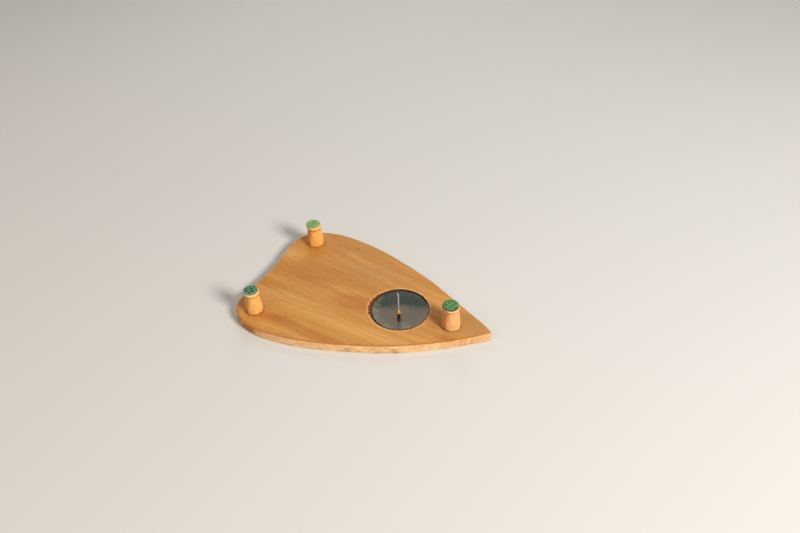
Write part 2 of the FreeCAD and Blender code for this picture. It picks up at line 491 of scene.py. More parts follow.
def glue():
    """Amber glue, hard and slightly clouded, painted paler at its crown as a highlight, with trapped
    dust.
    """
    n = Nodes("glue")
    p = n.place()
    z = n.split(p)[2]
    cloud = n.noise(p, 1.6, roughness=0.6)
    colour = n.mix(n.between(cloud, 0.36, 0.64), (0.34, 0.12, 0.020), (0.62, 0.28, 0.090))
    _, _, low, high = round_box("glue_bead")
    # The bead's top is painted paler, a painted highlight
    crown = n.between(z, float(low) + 1.0, float(high))
    colour = n.mix(n.times(crown, 0.7), colour, (0.80, 0.46, 0.24))
    dust = n.between(n.noise(p, 5.0, detail=1.0), 0.66, 0.74)
    colour = n.mix(n.times(dust, 0.5), colour, (0.20, 0.09, 0.03))
    n.set(Base_Color=colour, Roughness=0.32, Normal=n.bump(cloud, 0.4, 0.12))
    n.set(Subsurface_Weight=0.15, Subsurface_Scale=0.0008, IOR=1.5)
    return n.material


def floor_paint():
    """The studio floor."""
    n = Nodes("floor_paint")
    n.set(Base_Color=(0.68, 0.67, 0.655, 1.0), Roughness=0.9, Specular_IOR_Level=0.1)
    return n.material


# ---- Shapes read from the CAD board ----

BOARD_HIGH = box_mm("board")[1]
THICKNESS = BOARD_HIGH[2]
COLUMNS = 720
ANGLES, WAYS = compass(COLUMNS)


def wall_hits(centre, level, from_outside):
    """Where level rays meet the CAD board: its outer wall from outside, or a hole's wall from inside."""
    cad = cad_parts["board"].data
    tree = BVHTree.FromPolygons([v.co for v in cad.vertices], [p.vertices for p in cad.polygons])
    hits = []
    for x, y in WAYS:
        way = Vector((x, y, 0))
        start = Vector((centre[0], centre[1], level)) * UNIT
        if from_outside:
            start, way = start + way * 2 * BOARD_HIGH[0] * UNIT, -way
        hits.append(tree.ray_cast(start, way)[0][:2])
    return np.array(hits) / UNIT


def fit_circle(points):
    """Centre and radius of the circle through points, by least squares."""
    table = np.column_stack([2 * points, np.ones(len(points))])
    a, b, c = np.linalg.lstsq(table, (points**2).sum(axis=1), rcond=None)[0]
    return np.array([a, b]), math.sqrt(c + a * a + b * b)


def smooth_outline(points, keep, passes=16):
    """Evens out a closed outline, but leaves the points that keep marks with 1."""
    for _ in range(passes):
        evened = (np.roll(points, 1, axis=0) + 2 * points + np.roll(points, -1, axis=0)) / 4
        points = points + (evened - points) * (1 - keep[:, None])
    return points


def outward(points):
    """Unit normals of a closed outline that runs anticlockwise."""
    along = np.roll(points, -1, axis=0) - np.roll(points, 1, axis=0)
    along /= np.linalg.norm(along, axis=1)[:, None]
    return np.column_stack([along[:, 1], -along[:, 0]])


DISC_LOW, DISC_HIGH = box_mm("window_disc")
LEDGE_LEVEL = DISC_LOW[2]
DISC_MIDDLE = (DISC_LOW + DISC_HIGH) / 2
RECESS_MIDLEVEL = (DISC_HIGH[2] + THICKNESS) / 2
RECESS_CENTRE, RECESS_RADIUS = fit_circle(wall_hits(DISC_MIDDLE, RECESS_MIDLEVEL, False))
VIEW_CENTRE, VIEW_RADIUS = fit_circle(wall_hits(RECESS_CENTRE, THICKNESS / 3, False))
ROUGH_OUTLINE = wall_hits(RECESS_CENTRE, THICKNESS / 2, True)
TIP = int(np.argmax(ROUGH_OUTLINE[:, 0]))
TIP_KEEP = fade_out(math.radians(2.5), math.radians(6.0), arc_gap(ANGLES, ANGLES[TIP]))
OUTLINE = smooth_outline(ROUGH_OUTLINE, TIP_KEEP)
NORMALS = outward(OUTLINE)

PIN_LOW, PIN_HIGH = box_mm("pointer_pin")
HEAD_RADIUS = (PIN_HIGH[1] - PIN_LOW[1]) / 2
PIN_CENTRE = (PIN_LOW[:2] + PIN_HIGH[:2]) / 2
PIN_RADIUS = 0.60
PIN_GAP = 0.05


# ---- Board ----

UPPER_ROUND = 0.35
LOWER_ROUND = 0.9
VIEW_ROUND = 0.5
UNDERSIDE_ROWS = 60
EDGE_ROWS = 14
TOP_ROWS = 26

# Spots of the sawn edge that are soiled, and its ends, browned by handling: (place, reach, strength)
SOILED = [
    ((4.3, -42.5, 2.4), 3.4, 0.75),
    ((22.5, -35.0, 0.8), 4.5, 0.80),
    ((30.2, -31.8, 0.8), 4.8, 0.80),
    ((-57.9, -52.0, 3.2), 6.0, 0.40),
]
BROWNED = [
    ((-63.0, -49.5, 3.2), 19.0, 1.0),
    ((70.0, -9.0, 3.2), 22.0, 0.50),
]

# Knocks: (place, reach) of a dent in the face, of a notch in the tail's edge and of a nick in the
# window's rim, and (place, reach, strength) of two chips out of the lower edge
DENT = ((-33.5, 43.1), 1.5)
NOTCH = ((-77.2, 40.1), 1.3)
RIM_NICK = (RECESS_CENTRE + RECESS_RADIUS * np.array([0.46, 0.89]), 0.8)
CHIPS = [
    ((-2.3, -43.8, 0.4), 1.6, 1.0),
    ((-0.6, -43.0, 0.2), 1.1, 0.6),
]

# The middle of the torn side of the window's rim, and how far to each side it is torn
TORN_MIDDLE = math.radians(190)
TORN_FULLY = math.radians(20)
TORN_TO = math.radians(48)

# Broad zones of the underside's colour: (place, (half length, half width), strength)
ZONES = {
    "warm": [
        ((-46, 7), (36, 10), 0.62),
        ((-8, -6), (20, 8), 0.85),
        ((-47, -39.5), (18, 5), 0.95),
        ((-14, -43), (26, 4), 0.50),
        ((-52, 38), (18, 9), 0.55),
        # This warm spot, left of the front foot, is that foot's painted shadow
        ((44, -4), (9, 7), 0.85),
        ((55, -12), (10, 5), 0.60),
    ],
    "pale": [
        ((-44, -20), (32, 8), 0.90),
        ((4, -28), (44, 6), 0.75),
        ((35, 17), (16, 7), 0.60),
        ((-73, 20), (12, 8), 0.85),
        ((-30, -8), (20, 4), 0.35),
    ],
    "greyed": [
        ((68, 0), (26, 16), 0.95),
        ((-8, 26), (46, 13), 0.55),
        ((-40, 42), (30, 9), 0.50),
    ],
}
FIRST_ZONE_SEED = 14


def zone_mask(points, zones, seed):
    """How strongly each point belongs to a list of soft, uneven oval zones."""
    strength = np.zeros(len(points))
    for place, halves, most in zones:
        reach = np.linalg.norm((points[:, :2] - np.array(place)) / np.array(halves), axis=1)
        strength = np.maximum(strength, most * fade_out(0.25, 1.35, reach))
    streaks = 0.72 + 0.45 * field(points * np.array([0.25, 1.0, 1.0]), 7.0, seed, 3)
    return np.clip(strength * streaks, 0, 1)


def outline_ring(inset, level):
    """The outline moved inwards by inset, at one level."""
    return lifted(OUTLINE - NORMALS * inset, level)


def circle_ring(centre, radius, level):
    return lifted(centre + radius * WAYS, level)


def blend_rings(first, last, count):
    """Rings between two others, closest together beside both."""
    shares = 0.5 - 0.5 * np.cos(np.linspace(0, math.pi, count + 2)[1:-1])
    return [first + (last - first) * share for share in shares]


def board_rings():
    """Rings that go once round the board's cross-section, each with the name of its surface."""
    rings = []

    def add(surface, *more):
        rings.extend((surface, ring) for ring in more)

    inner = circle_ring(RECESS_CENTRE, RECESS_RADIUS + 0.06, THICKNESS)
    outer = outline_ring(UPPER_ROUND + 0.05, THICKNESS)
    add("underside", inner, *blend_rings(inner, outer, UNDERSIDE_ROWS), outer)
    for angle in np.radians([10, 35, 60, 85]):
        inset = UPPER_ROUND * (1 - math.sin(angle))
        add("arris", outline_ring(inset, THICKNESS - UPPER_ROUND * (1 - math.cos(angle))))
    for level in np.linspace(THICKNESS - UPPER_ROUND - 0.1, LOWER_ROUND + 0.1, EDGE_ROWS):
        add("edge", outline_ring(0.0, level))
    for angle in np.radians([5, 25, 45, 65, 85]):
        inset = LOWER_ROUND * (1 - math.cos(angle))
        add("lower", outline_ring(inset, LOWER_ROUND * (1 - math.sin(angle))))
    outer = outline_ring(LOWER_ROUND + 0.2, 0.0)
    inner = circle_ring(VIEW_CENTRE, VIEW_RADIUS + VIEW_ROUND, 0.0)
    add("top", outer, *blend_rings(outer, inner, TOP_ROWS), inner)
    add("hole", circle_ring(VIEW_CENTRE, VIEW_RADIUS + VIEW_ROUND * 0.3, VIEW_ROUND * 0.3))
    for level in np.linspace(VIEW_ROUND, LEDGE_LEVEL - 0.05, 5):
        add("hole", circle_ring(VIEW_CENTRE, VIEW_RADIUS, level))
    for share in (0.02, 0.5, 0.98):
        radius = VIEW_RADIUS + (RECESS_RADIUS - VIEW_RADIUS) * share
        add("ledge", circle_ring(RECESS_CENTRE, radius, LEDGE_LEVEL))
    for level in np.linspace(LEDGE_LEVEL + 0.06, THICKNESS - 0.05, 8):
        add("recess", circle_ring(RECESS_CENTRE, RECESS_RADIUS, level))
    return rings


class BoardPoints:
    """The board's points, and what its wear and its masks need to know about each of them."""

    def __init__(self):
        named = board_rings()
        self.rows = len(named)
        surface = np.repeat([name for name, _ in named], COLUMNS)
        self.on = {name: (surface == name).astype(float) for name in set(surface)}
        self.face = self.on["underside"]
        self.band = self.on["edge"] + self.on["arris"] + self.on["lower"]
        self.p = np.vstack([ring for _, ring in named])
        self.tall = self.p * np.array([1.0, 1.0, 0.35])
        self.normal = np.tile(NORMALS, (self.rows, 1))

        # How far each point is from the window's rim and from the outline
        from_centre = self.p[:, :2] - RECESS_CENTRE
        reach = np.linalg.norm(from_centre, axis=1)
        self.rim_way = from_centre / reach[:, None]
        self.from_rim = reach - RECESS_RADIUS
        outline = np.tile(OUTLINE, (self.rows, 1))
        self.outline_gap = np.linalg.norm(self.p[:, :2] - outline, axis=1)
        turn = arc_gap(np.tile(ANGLES, self.rows), TORN_MIDDLE)
        self.torn_side = fade_out(TORN_FULLY, TORN_TO, turn)

    def push(self, way, amount):
        """Moves the points sideways, each by its own amount."""
        self.p[:, :2] += way * amount[:, None]


def saw_edge(b):
    """Roughens the sawn edge with the saw's slow wobble and ridges, and makes its arris uneven."""
    push = 0.08 * field(b.tall, 13.0, 1, 2) + 0.035 * field(b.tall, 1.6, 2, 3)
    push += 0.030 * field(b.p * np.array([0.3, 0.3, 1.6]), 1.1, 3, 2)
    b.nicks = np.clip(field(b.p, 2.2, 4, 3) - 0.22, 0, 1)
    push -= (b.on["arris"] + 0.5 * b.on["lower"]) * 0.55 * b.nicks
    b.push(b.normal, push * b.band)
    b.p[:, 2] -= b.on["arris"] * 0.30 * b.nicks


def wear_face(b):
    """Makes the sanded face slightly uneven, sunk a little at its arris and worn round at the point."""
    at_arris = fade_out(0.0, 1.6, b.outline_gap)
    b.worn = near(b.p, OUTLINE[TIP], 9.0) * (b.face * at_arris + b.on["arris"])
    b.p[:, 2] += b.face * 0.035 * field(b.p, 9.0, 5, 2) * smooth_step(0.0, 3.0, b.outline_gap)
    b.p[:, 2] -= b.face * 0.10 * at_arris * (0.5 + b.nicks) + 0.45 * b.worn


def tear_rim(b):
    """Steps the window's rim slightly all round, and breaks it away in splinters at its torn side."""
    rim_point = lifted(b.rim_way * RECESS_RADIUS, 0.0)
    jag = field(rim_point, 0.9, 6, 3)
    splinter = smooth_step(-0.35, 0.45, field(rim_point, 1.2, 7, 3))
    b.wall = b.on["recess"] * smooth_step(LEDGE_LEVEL + 0.2, THICKNESS, b.p[:, 2])
    at_rim = b.face * fade_out(0.0, 2.6, b.from_rim)
    rim_push = (at_rim + b.wall) * (0.12 * jag + b.torn_side * (0.35 + 0.95 * splinter))
    b.push(b.rim_way, rim_push)
    b.slope = (b.wall + b.on["recess"] * 0.3) * b.torn_side
    b.push(b.rim_way, b.slope * 0.35 * field(b.p, 0.7, 17, 3))
    torn_band = b.face * b.torn_side * fade_out(0.35, 1.5, b.from_rim)
    fibres = field(b.p * np.array([0.35, 1.3, 1.0]), 0.9, 8, 3)
    b.torn_band = torn_band * smooth_step(-0.15, 0.30, fibres)
    b.p[:, 2] += b.torn_band * (0.26 * np.abs(field(b.p, 0.8, 13, 3)) + 0.05)
    step = 0.05 + 0.10 * np.clip(jag, 0, 1)
    b.p[:, 2] -= at_rim * fade_out(0.0, 0.8, b.from_rim) * step


def knock(b):
    """Presses in the dent, cuts the notch and breaks the chips out of the lower edge."""
    b.dent = near(b.p, *DENT) * b.face
    b.p[:, 2] -= 0.35 * b.dent
    b.notch = near(b.p, *NOTCH) * (b.face + b.band)
    b.push(b.normal, -0.4 * b.notch)
    b.p[:, 2] -= 0.3 * b.notch * (b.p[:, 2] > THICKNESS / 2)
    chip = b.band * sum(strength * near(b.p, place, reach) for place, reach, strength in CHIPS)
    b.push(b.normal, -0.7 * chip)
    b.p[:, 2] += 0.35 * chip * (b.p[:, 2] < 1.5)


def beside_feet(points):
    """1 where a foot's base meets the board, fading out within a millimetre or so."""
    beside = np.zeros(len(points))
    for place in FEET:
        centre, radius, _, _ = round_box("foot_" + place)
        gap = np.linalg.norm(points[:, :2] - centre, axis=1) - radius
        beside = np.maximum(beside, fade_out(0.2, 1.1, np.abs(gap)))
    return beside


def board_masks(b):
    """How strongly each surface, zone, stain, painted shade and painted highlight shows at each point,
    for the board's material.
    """
    on, face = b.on, b.face
    ragged = 0.5 + 0.5 * field(b.p, 1.0, 9, 3)
    streaky = 0.5 + 0.6 * field(b.tall, 1.8, 10, 3)
    soil = strongest(b.p, SOILED) * b.band * smooth_step(0.15, 0.75, streaky)
    browned = strongest(b.p, BROWNED) * b.band * smooth_step(0.10, 0.50, streaky)

    # Pale torn fibres on the window's rim and a painted highlight line all round it, dark broken wood on
    # its wall, painted shade in the recess and on the ledge with some scorch, and painted contact shade
    # round the feet's bases
    rim_highlight_line = face * fade_out(0.35, 0.95, b.from_rim) * smooth_step(0.20, 0.50, ragged)
    broken = b.slope * smooth_step(0.15, 0.55, 0.5 + 0.5 * field(b.p, 0.9, 18, 3))
    rim_nick = near(b.p, *RIM_NICK) * (face + b.wall)
    recess_shade_and_scorch = on["recess"] * (0.72 + 0.4 * ragged) + on["ledge"] * 0.7
    feet_contact_shade = face * beside_feet(b.p) * (0.35 + 0.5 * ragged)

    # The upper arris has an uneven painted shade line, strong on the side that faces the camera
    camera_side = smooth_step(-0.35, 0.35, -b.normal @ np.array(AHEAD.xy))
    line_width = 0.7 + 2.0 * ragged
    arris_shade_line = face * fade_out(0.6, 1.0, b.outline_gap / line_width) + 0.8 * on["arris"]
    arris_shade_line *= smooth_step(0.15, 0.45, ragged) * (0.12 + 0.88 * camera_side)
    bare_arris = on["arris"] * np.maximum(smooth_step(0.25, 0.75, ragged), 1 - camera_side)
    # The darkest tint: painted shade in the recess, on the ledge and round the feet's bases, less over
    # the broken wood, with the rim's nick and the dent
    scorch_and_shade = recess_shade_and_scorch - 0.55 * broken + rim_nick + 0.80 * b.dent + 0.55 * feet_contact_shade
    seeds = enumerate(ZONES, start=FIRST_ZONE_SEED)
    zones = {name: zone_mask(b.p, ZONES[name], seed) for seed, name in seeds}
    return zones | {
        "edge": np.clip(on["edge"] + on["lower"] + bare_arris + b.worn, 0, 1),
        "arris": np.clip(0.78 * arris_shade_line - b.worn + browned, 0, 0.95),
        "torn": np.clip(b.torn_band + 0.85 * rim_highlight_line, 0, 0.95),
        "broken": np.clip(b.slope * 0.6 + broken, 0, 1),
        "scorch_and_shade": np.clip(scorch_and_shade, 0, 0.95),
        "soil": np.clip(np.maximum(soil, 0.7 * b.notch), 0, 0.85),
    }


def apply_modifiers(piece):
    """Replaces a piece's mesh with what its modifiers make of it."""
    graph = bpy.context.evaluated_depsgraph_get()
    made = bpy.data.meshes.new_from_object(piece.evaluated_get(graph))
    piece.modifiers.clear()
    old, piece.data = piece.data, made
    bpy.data.meshes.remove(old)


def cut_sockets(piece):
    """Sinks the three blind sockets that the feet's tenons stand in."""
    radius = (TENON_RADIUS + 0.05) * UNIT
    for place in FEET:
        centre, _, tenon_end, _ = round_box("foot_" + place)
        floor, above = tenon_end - 0.3, THICKNESS + 0.5
        work = bmesh.new()
        bmesh.ops.create_cone(
            work,
            cap_ends=True,
            segments=64,
            radius1=radius,
            radius2=radius,
            depth=(above - floor) * UNIT,
            matrix=Matrix.Translation(Vector((*centre, (above + floor) / 2)) * UNIT),
        )
        mesh = bpy.data.meshes.new("cutter")
        work.to_mesh(mesh)
        work.free()
        cutter = add_object("cutter", mesh)
        modifier = piece.modifiers.new("socket", "BOOLEAN")
        modifier.operation = "DIFFERENCE"
        modifier.solver = "EXACT"
        modifier.object = cutter
        apply_modifiers(piece)
        bpy.data.objects.remove(cutter)
        bpy.data.meshes.remove(mesh)


def make_board():
    """The board, with its rough sawn edge, torn window rim, dent, chips and stains."""
    b = BoardPoints()
    saw_edge(b)
    wear_face(b)
    tear_rim(b)
    knock(b)
    faces = grid_faces(b.rows, COLUMNS, closed_rows=True)
    piece = make_mesh("board_wooden", b.p, faces, board_masks(b))
    fit_out(piece, "board", board_wood())
    cut_sockets(piece)


# ---- Window disc, pin and glue ----

DISC_COLUMNS = 256
DISC_EASE = 0.12

# The middle of a pale patch of old glue on the disc
HAZY_PATCH = (27.8, -11.8)


def disc_section():
    """The disc's outline as (share of the way from the pin's hole to the rim, level)."""
    low, high = DISC_LOW[2], DISC_HIGH[2]
    top_shares = (0.02, 0.06, 0.12, 0.22, 0.34, 0.46, 0.58, 0.70, 0.80, 0.88, 0.94, 0.98)
    section = [(0.0, low + 0.03), (0.0, high)]
    section += [(share, high) for share in top_shares]
    section += [(1.0, high - DISC_EASE * k) for k in (0.0, 0.3, 1.0)]
    section += [(1.0, low + DISC_EASE * k) for k in (1.0, 0.3, 0.0)]
    section += [(share, low) for share in (0.98, 0.9, 0.7, 0.45, 0.2, 0.05)]
    return section


def disc_masks(rings, offset, share):
    """Where old glue hazes the disc, and a painted dark streak from the pin towards the camera, standing
    in for the pin's reflection and shadow.
    """
    angle = np.arctan2(offset[:, :, 1], offset[:, :, 0])
    glued_side = math.atan2(*(-RIGHT - 0.25 * AHEAD).yx)
    glued = fade_out(math.radians(30), math.radians(80), arc_gap(angle, glued_side))
    haze = smooth_step(0.66, 0.95, share) * (0.15 + 0.85 * glued)
    patch = near(rings.reshape(-1, 3), HAZY_PATCH, 5.5).reshape(share.shape)
    # A painted dark streak in front of the pin, for the pin's reflection and shadow
    from_pin = rings[:, :, :2] - PIN_CENTRE
    along = -from_pin @ np.array(AHEAD.xy)
    aside = np.abs(from_pin @ np.array(RIGHT.xy))
    pin_reflection_and_shadow = (along > 0) * fade_out(0.65, 1.40, aside) * fade_out(6.8, 9.4, along)
    return {"haze": np.maximum(haze, patch).reshape(-1), "pin_reflection_and_shadow": pin_reflection_and_shadow.reshape(-1)}


def make_disc():
    """The window's disc, slightly dished, with an eased edge and the pin's hole."""
    low, high = DISC_LOW[2], DISC_HIGH[2]
    centre, radius = DISC_MIDDLE[:2], (DISC_HIGH[0] - DISC_LOW[0]) / 2
    angles, ways = compass(DISC_COLUMNS)
    hole = PIN_RADIUS + PIN_GAP
    rings = []
    for share, level in disc_section():
        inset = DISC_EASE if level in (high, low) and share == 1.0 else 0.0
        reach = hole + (radius - inset - hole) * share
        middle = centre + (PIN_CENTRE - centre) * (1 - share)
        wobble = 1 + 0.004 * share * np.sin(3 * angles + 1.1) + 0.002 * share * np.sin(11 * angles)
        rings.append(lifted(middle + reach * wobble[:, None] * ways, level))
    rings = np.array(rings)
    offset = rings[:, :, :2] - centre
    share = np.linalg.norm(offset, axis=2) / radius
    top = rings[:, :, 2] > (low + high) / 2
    rings[:, :, 2] += top * (0.10 * share**6 - 0.05)
    faces = grid_faces(len(rings), DISC_COLUMNS, closed_rows=True)
    masks = disc_masks(rings, offset, share)
    piece = make_mesh("window_disc_smoked", rings.reshape(-1, 3), faces, masks)
    fit_out(piece, "window_disc", window_plastic(centre, radius))


BEND_RADIUS = 0.42
BEND_LEVEL = PIN_HIGH[2] - 1.75
BEND_LENGTH = 0.3
POINT_SHIFT = np.array([-0.42, -0.06])


def make_pin():
    """The steel pin: flat head under the disc, tapered shaft, and a point bent slightly aside."""
    _, ways = compass(24)
    stations = [(PIN_LOW[2], HEAD_RADIUS - 0.15), (PIN_LOW[2] + 0.1, HEAD_RADIUS)]
    stations += [(LEDGE_LEVEL - 0.08, HEAD_RADIUS), (LEDGE_LEVEL - 0.01, HEAD_RADIUS - 0.1)]
    for share in np.linspace(0, 1, 34):
        level = LEDGE_LEVEL + (BEND_LEVEL - LEDGE_LEVEL) * share
        stations.append((level, PIN_RADIUS + (BEND_RADIUS - PIN_RADIUS) * share))
    for share in (0.15, 0.3, 0.45, 0.6, 0.75, 0.88, 0.96):
        level = BEND_LEVEL + (PIN_HIGH[2] - BEND_LEVEL) * share
        stations.append((level, BEND_RADIUS * (1 - share) ** 0.7 + 0.08))
    rings = []
    for level, radius in stations:
        past_bend = max(0.0, level - BEND_LEVEL + BEND_LENGTH) / (PIN_HIGH[2] - BEND_LEVEL + BEND_LENGTH)
        middle = PIN_CENTRE + POINT_SHIFT * past_bend**1.2
        rings.append(lifted(middle + radius * ways, level))
    piece = lathe("pointer_pin_steel", np.array(rings))
    fit_out(piece, "pointer_pin", pin_steel())


BEAD_SKIRT = 0.34


def make_bead():
    """The blob of glue round the pin: an uneven dome on a thin, ragged skirt."""
    _, skirt, low, high = round_box("glue_bead")
    height = high - low
    _, ways = compass(72)
    dome, crown, bore = 0.52 * skirt, 0.26 * skirt, PIN_RADIUS + PIN_GAP
    lobes = 1 + 0.20 * field(lifted(ways, 0.0) * 1.2, 1.0, 11, 2)
    ragged = 1 + 0.45 * field(lifted(ways, 0.0) * 2.6, 1.0, 12, 3)
    section = [(bore, 0.0), (0.55 * skirt, 0.0), (0.80 * skirt, 0.0), (0.83 * skirt, 0.05)]
    section += [(0.72 * skirt, 0.12), (0.62 * skirt, 0.22)]
    for angle in np.radians([0, 14, 28, 42, 54, 65, 75, 84]):
        reach = crown + (dome - crown) * math.cos(angle)
        section.append((reach, BEAD_SKIRT + (height - BEAD_SKIRT) * math.sin(angle)))
    section.append((bore, height))
    rings = []
    for radius, level in section:
        uneven = ragged if level < 0.3 else lobes
        uneven = 1 + (uneven - 1) * smooth_step(bore, 1.1, radius)
        reach = np.maximum(bore, radius * uneven)
        rings.append(lifted(PIN_CENTRE + reach[:, None] * ways, low + level))
    faces = grid_faces(len(rings), len(ways), closed_rows=True)
    piece = make_mesh("glue_bead_amber", np.vstack(rings), faces)
    fit_out(piece, "glue_bead", glue())


# ---- Feet and felts ----

TENON_RADIUS = 3.15
TENON_CHAMFER = 0.4
NECK_SHARE = 0.82
FOOT_COLUMNS = 120
FELT_COLUMNS = 160
FIBRES_PER_FELT = 620
FIBRE_CEILING = 0.35

# Each foot differs. torn is how broken its base is, and groove is how dark the painted shade under its
# lip is.
# Of its felt, corners is how many the cut disc has (0 is round), shift is how far it lies from the
# CAD pad's centre, edge_depth and blotched are how strong its discoloured rim and its blotches are,
# and thread says whether one long fibre hangs from it.
FEET = {
    "front": {
        "seed": 21, "neck": 4.55, "lip": 5.2, "torn": 1.0,
        "light": (0.800, 0.430, 0.185),
        "dark": (0.590, 0.240, 0.072),
        "corners": 0, "shift": (-0.28, -0.06),
        "felt_light": (0.215, 0.430, 0.165),
        "felt_dark": (0.055, 0.185, 0.060),
        "felt_edge": (0.085, 0.090, 0.072),
        "edge_depth": 0.95, "blotched": 0.55, "groove": 0.12, "thread": False,
    },
    "rear_left": {
        "seed": 22, "neck": 4.5, "lip": 5.1, "torn": 0.12,
        "light": (0.860, 0.455, 0.135),
        "dark": (0.600, 0.205, 0.030),
        "corners": 7, "shift": (-0.80, 0.20),
        "felt_light": (0.320, 0.530, 0.200),
        "felt_dark": (0.135, 0.310, 0.100),
        "felt_edge": (0.330, 0.400, 0.260),
        "edge_depth": 0.60, "blotched": 0.30, "groove": 0.24, "thread": True,
    },
    "rear_right": {
        "seed": 23, "neck": 4.1, "lip": 4.75, "torn": 0.55,
        "light": (0.860, 0.465, 0.150),
        "dark": (0.600, 0.220, 0.038),
        "corners": 8, "shift": (-0.78, 0.34),
        "felt_light": (0.200, 0.430, 0.225),
        "felt_dark": (0.018, 0.110, 0.060),
        "felt_edge": (0.170, 0.240, 0.230),
        "edge_depth": 0.60, "blotched": 0.85, "groove": 0.20, "thread": False,
    },
}


def foot_section(base, neck, lip, height):
    """A foot's outline above the board: (radius, height) from its base to the middle of its end."""
    neck_level = height * NECK_SHARE
    lip_level = height - 0.95
    section = [(base - 0.45, 0.0), (base - 0.16, 0.06), (base - 0.04, 0.22), (base, 0.45)]
    for share in np.linspace(0.04, 1.0, 34):
        belly = 0.20 * math.sin(math.pi * share**0.7)
        section.append((base + (neck - base) * share + belly, 0.45 + (neck_level - 0.45) * share))
    for share in np.linspace(0.08, 1.0, 12):
        rise = float(smooth_step(0.0, 1.0, share))
        section.append((neck + (lip - neck) * rise, neck_level + (lip_level - neck_level) * share))
    section += [(lip + 0.03, height - 0.6), (lip, height - 0.3), (lip - 0.12, height - 0.1)]
    section += [(lip - 0.35, height), (lip * 0.7, height), (lip * 0.3, height)]
    return section


def make_foot(place):
    """A turned foot with tool rings, broken grain at its base, and a tenon below."""
    style = FEET[place]
    seed = style["seed"]
    centre, base, low, high = round_box("foot_" + place)
    height, tenon = high - THICKNESS, low - THICKNESS
    _, ways = compass(FOOT_COLUMNS)
    section = [(TENON_RADIUS - TENON_CHAMFER, tenon), (TENON_RADIUS, tenon + TENON_CHAMFER)]
    section += [(TENON_RADIUS, -0.05), (TENON_RADIUS + 0.02, 0.0), (TENON_RADIUS + 1.2, 0.0)]
    section += foot_section(base, style["neck"], style["lip"], height)
    rings, torn, shade = [], [], []
    for radius, level in section:
        above_board = level > 0
        spot = lifted(ways * radius, level)

        # Rings left by the tool, a slight unevenness, and a lip that is rougher
        reach = radius + 0.05 * field(spot, 4.0, seed, 2) * above_board
        if 0.6 < level < height - 0.7:
            reach = reach + 0.045 * noise.noise(Vector((0, seed, level * 2.3)))
        lip_band = smooth_step(height - 1.3, height - 0.7, level) * above_board
        reach = reach + lip_band * 0.06 * field(spot, 1.3, seed + 20, 3)

        # The base is broken into splinters, which stand out and up a little
        low_band = (level >= 0.0) * (radius > TENON_RADIUS + 1) * fade_out(0.3, 1.5, level)
        spread = spot * np.array([1.0, 1.0, 0.3])
        splinters = smooth_step(-0.10, 0.45, field(spread, 1.0, seed + 10, 4)) * style["torn"]
        reach = reach + low_band * (splinters * 0.34 - 0.12)
        lift = 0.22 * splinters * low_band
        rings.append(lifted(centre + reach[:, None] * ways, np.maximum(THICKNESS + level + lift, low)))

        # Pale bare wood in the splinters, a painted highlight at the lip's end, and painted shade under
        # the lip and at the base
        lip_highlight = smooth_step(height - 0.68, height - 0.30, level) * above_board
        torn.append(np.clip(low_band * splinters, 0, 0.75) + 0.60 * lip_highlight)
        under_lip = math.exp(-(((level - height * NECK_SHARE - 0.3) / 1.1) ** 2))
        at_base = math.exp(-((level / 0.85) ** 2)) * (level >= 0) * style["torn"] ** 0.5
        shade.append(style["groove"] * under_lip + 0.75 * at_base * (1 - splinters))
    masks = {"torn": np.array(torn), "shade": np.clip(np.array(shade), 0, 0.8)}
    piece = lathe("foot_" + place + "_turned", np.array(rings), masks)
    wood = foot_wood(place, style["light"], style["dark"], centre)
    fit_out(piece, "foot_" + place, wood)


def felt_reach(radius, corners, seed):
    """How far a hand-cut felt disc reaches at each angle: round, or with a few blunt corners."""
    angles, ways = compass(FELT_COLUMNS)
    reach = radius * (1 + 0.022 * field(lifted(ways, 0.0), 0.8, seed, 2))
    if corners:
        power = 16.0
        total = np.zeros(FELT_COLUMNS)
        for k in range(corners):
            turn = k * TURN / corners + 0.35 * noise.noise(Vector((seed * 0.7, k * 1.9, 0.3)))
            side = 0.955 + 0.035 * noise.noise(Vector((k * 2.3, seed * 0.9, 4.1)))
            total += np.clip(np.cos(angles - turn) / side, 0, None) ** power
        reach *= np.minimum(1.03, total ** (-1 / power))
    return reach


def felt_section():
    """A felt pad's outline as (share of its reach, share of its thickness), up its side and inwards."""
    section = [(0.05, 0.0), (0.5, 0.0), (0.9, 0.0), (0.985, 0.02), (1.0, 0.15), (1.01, 0.4)]
    section += [(1.0, 0.62), (0.985, 0.78), (0.955, 0.89), (0.915, 0.95)]
    return section + [(share, 0.97) for share in np.linspace(0.87, 0.03, 24)]


